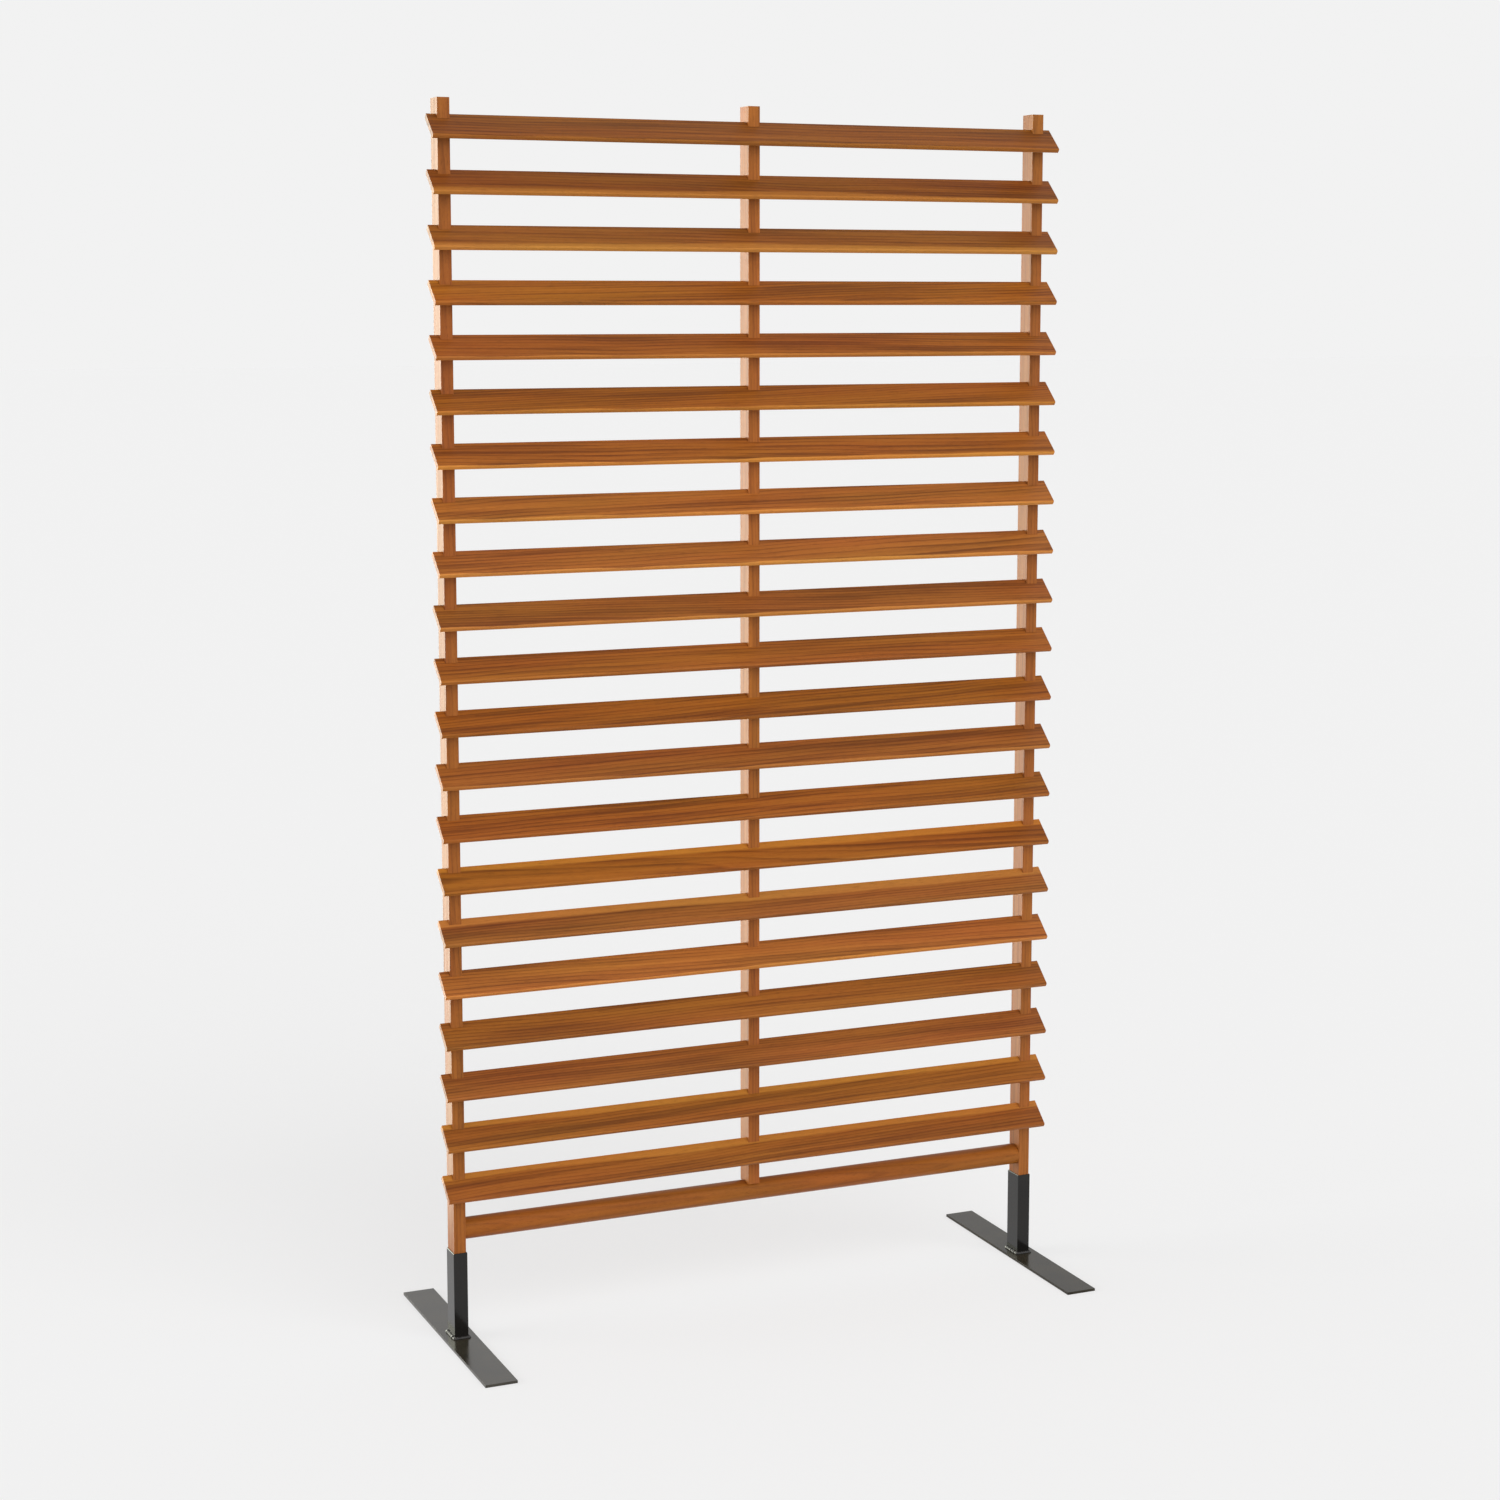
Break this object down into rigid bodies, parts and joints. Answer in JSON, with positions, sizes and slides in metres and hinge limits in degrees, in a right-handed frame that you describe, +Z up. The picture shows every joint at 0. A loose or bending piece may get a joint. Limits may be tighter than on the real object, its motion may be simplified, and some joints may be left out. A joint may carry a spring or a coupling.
{
  "type": "slatted privacy screen",
  "caption": "Free-standing slatted hardwood privacy screen: tilted slats housed in upright posts over a round bottom rail, its side posts slipped into black steel sockets on flat feet.",
  "frame": {"origin": "on the floor under the middle of the screen, halfway between the feet and halfway through the posts", "axes": "+Z up the posts, +X along the slats to the right as seen from the front, -Y out of the front"},
  "size_m": [0.988, 0.408, 1.7984],
  "materials": {
    "slat_wood": "oiled hardwood, satin, straight grain along the slat",
    "post_wood": "oiled hardwood, satin, grain upright",
    "rail_wood": "oiled hardwood, satin, turned round",
    "dowel_wood": "plain beech dowel",
    "black_steel": "black powder coat, semi-gloss",
    "weld_metal": "painted weld bead, glossy on its ripples",
    "screw_steel": "stainless countersunk screw"
  },
  "bodies": {
    "left_foot": {"left_base_plate": "black_steel", "left_socket": "black_steel", "left_weld_bead": "weld_metal"},
    "panel": {"slat_01": "slat_wood", "slat_02": "slat_wood", "slat_03": "slat_wood", "slat_04": "slat_wood", "slat_05": "slat_wood", "slat_06": "slat_wood", "slat_07": "slat_wood", "slat_08": "slat_wood", "slat_09": "slat_wood", "slat_10": "slat_wood", "slat_11": "slat_wood", "slat_12": "slat_wood", "slat_13": "slat_wood", "slat_14": "slat_wood", "slat_15": "slat_wood", "slat_16": "slat_wood", "slat_17": "slat_wood", "slat_18": "slat_wood", "slat_19": "slat_wood", "slat_20": "slat_wood", "slat_21": "slat_wood", "left_post": "post_wood", "centre_post": "post_wood", "right_post": "post_wood", "left_post_screws": "screw_steel", "centre_post_screws": "screw_steel", "right_post_screws": "screw_steel", "bottom_rail": "rail_wood", "centre_post_dowel": "dowel_wood"},
    "right_foot": {"right_base_plate": "black_steel", "right_socket": "black_steel", "right_weld_bead": "weld_metal"}
  },
  "joints": [
    {"name": "panel_lift", "type": "slide", "parent": "left_foot", "child": "panel", "axis": [0, 0, 1], "range_m": [0, 0.15]},
    {"name": "right_foot_slip", "type": "slide", "parent": "panel", "child": "right_foot", "axis": [0, 0, -1], "range_m": [0, 0.15]}
  ],
  "couplings": [
    {"joint": "right_foot_slip", "follows": "panel_lift", "ratio": 1}
  ]
}
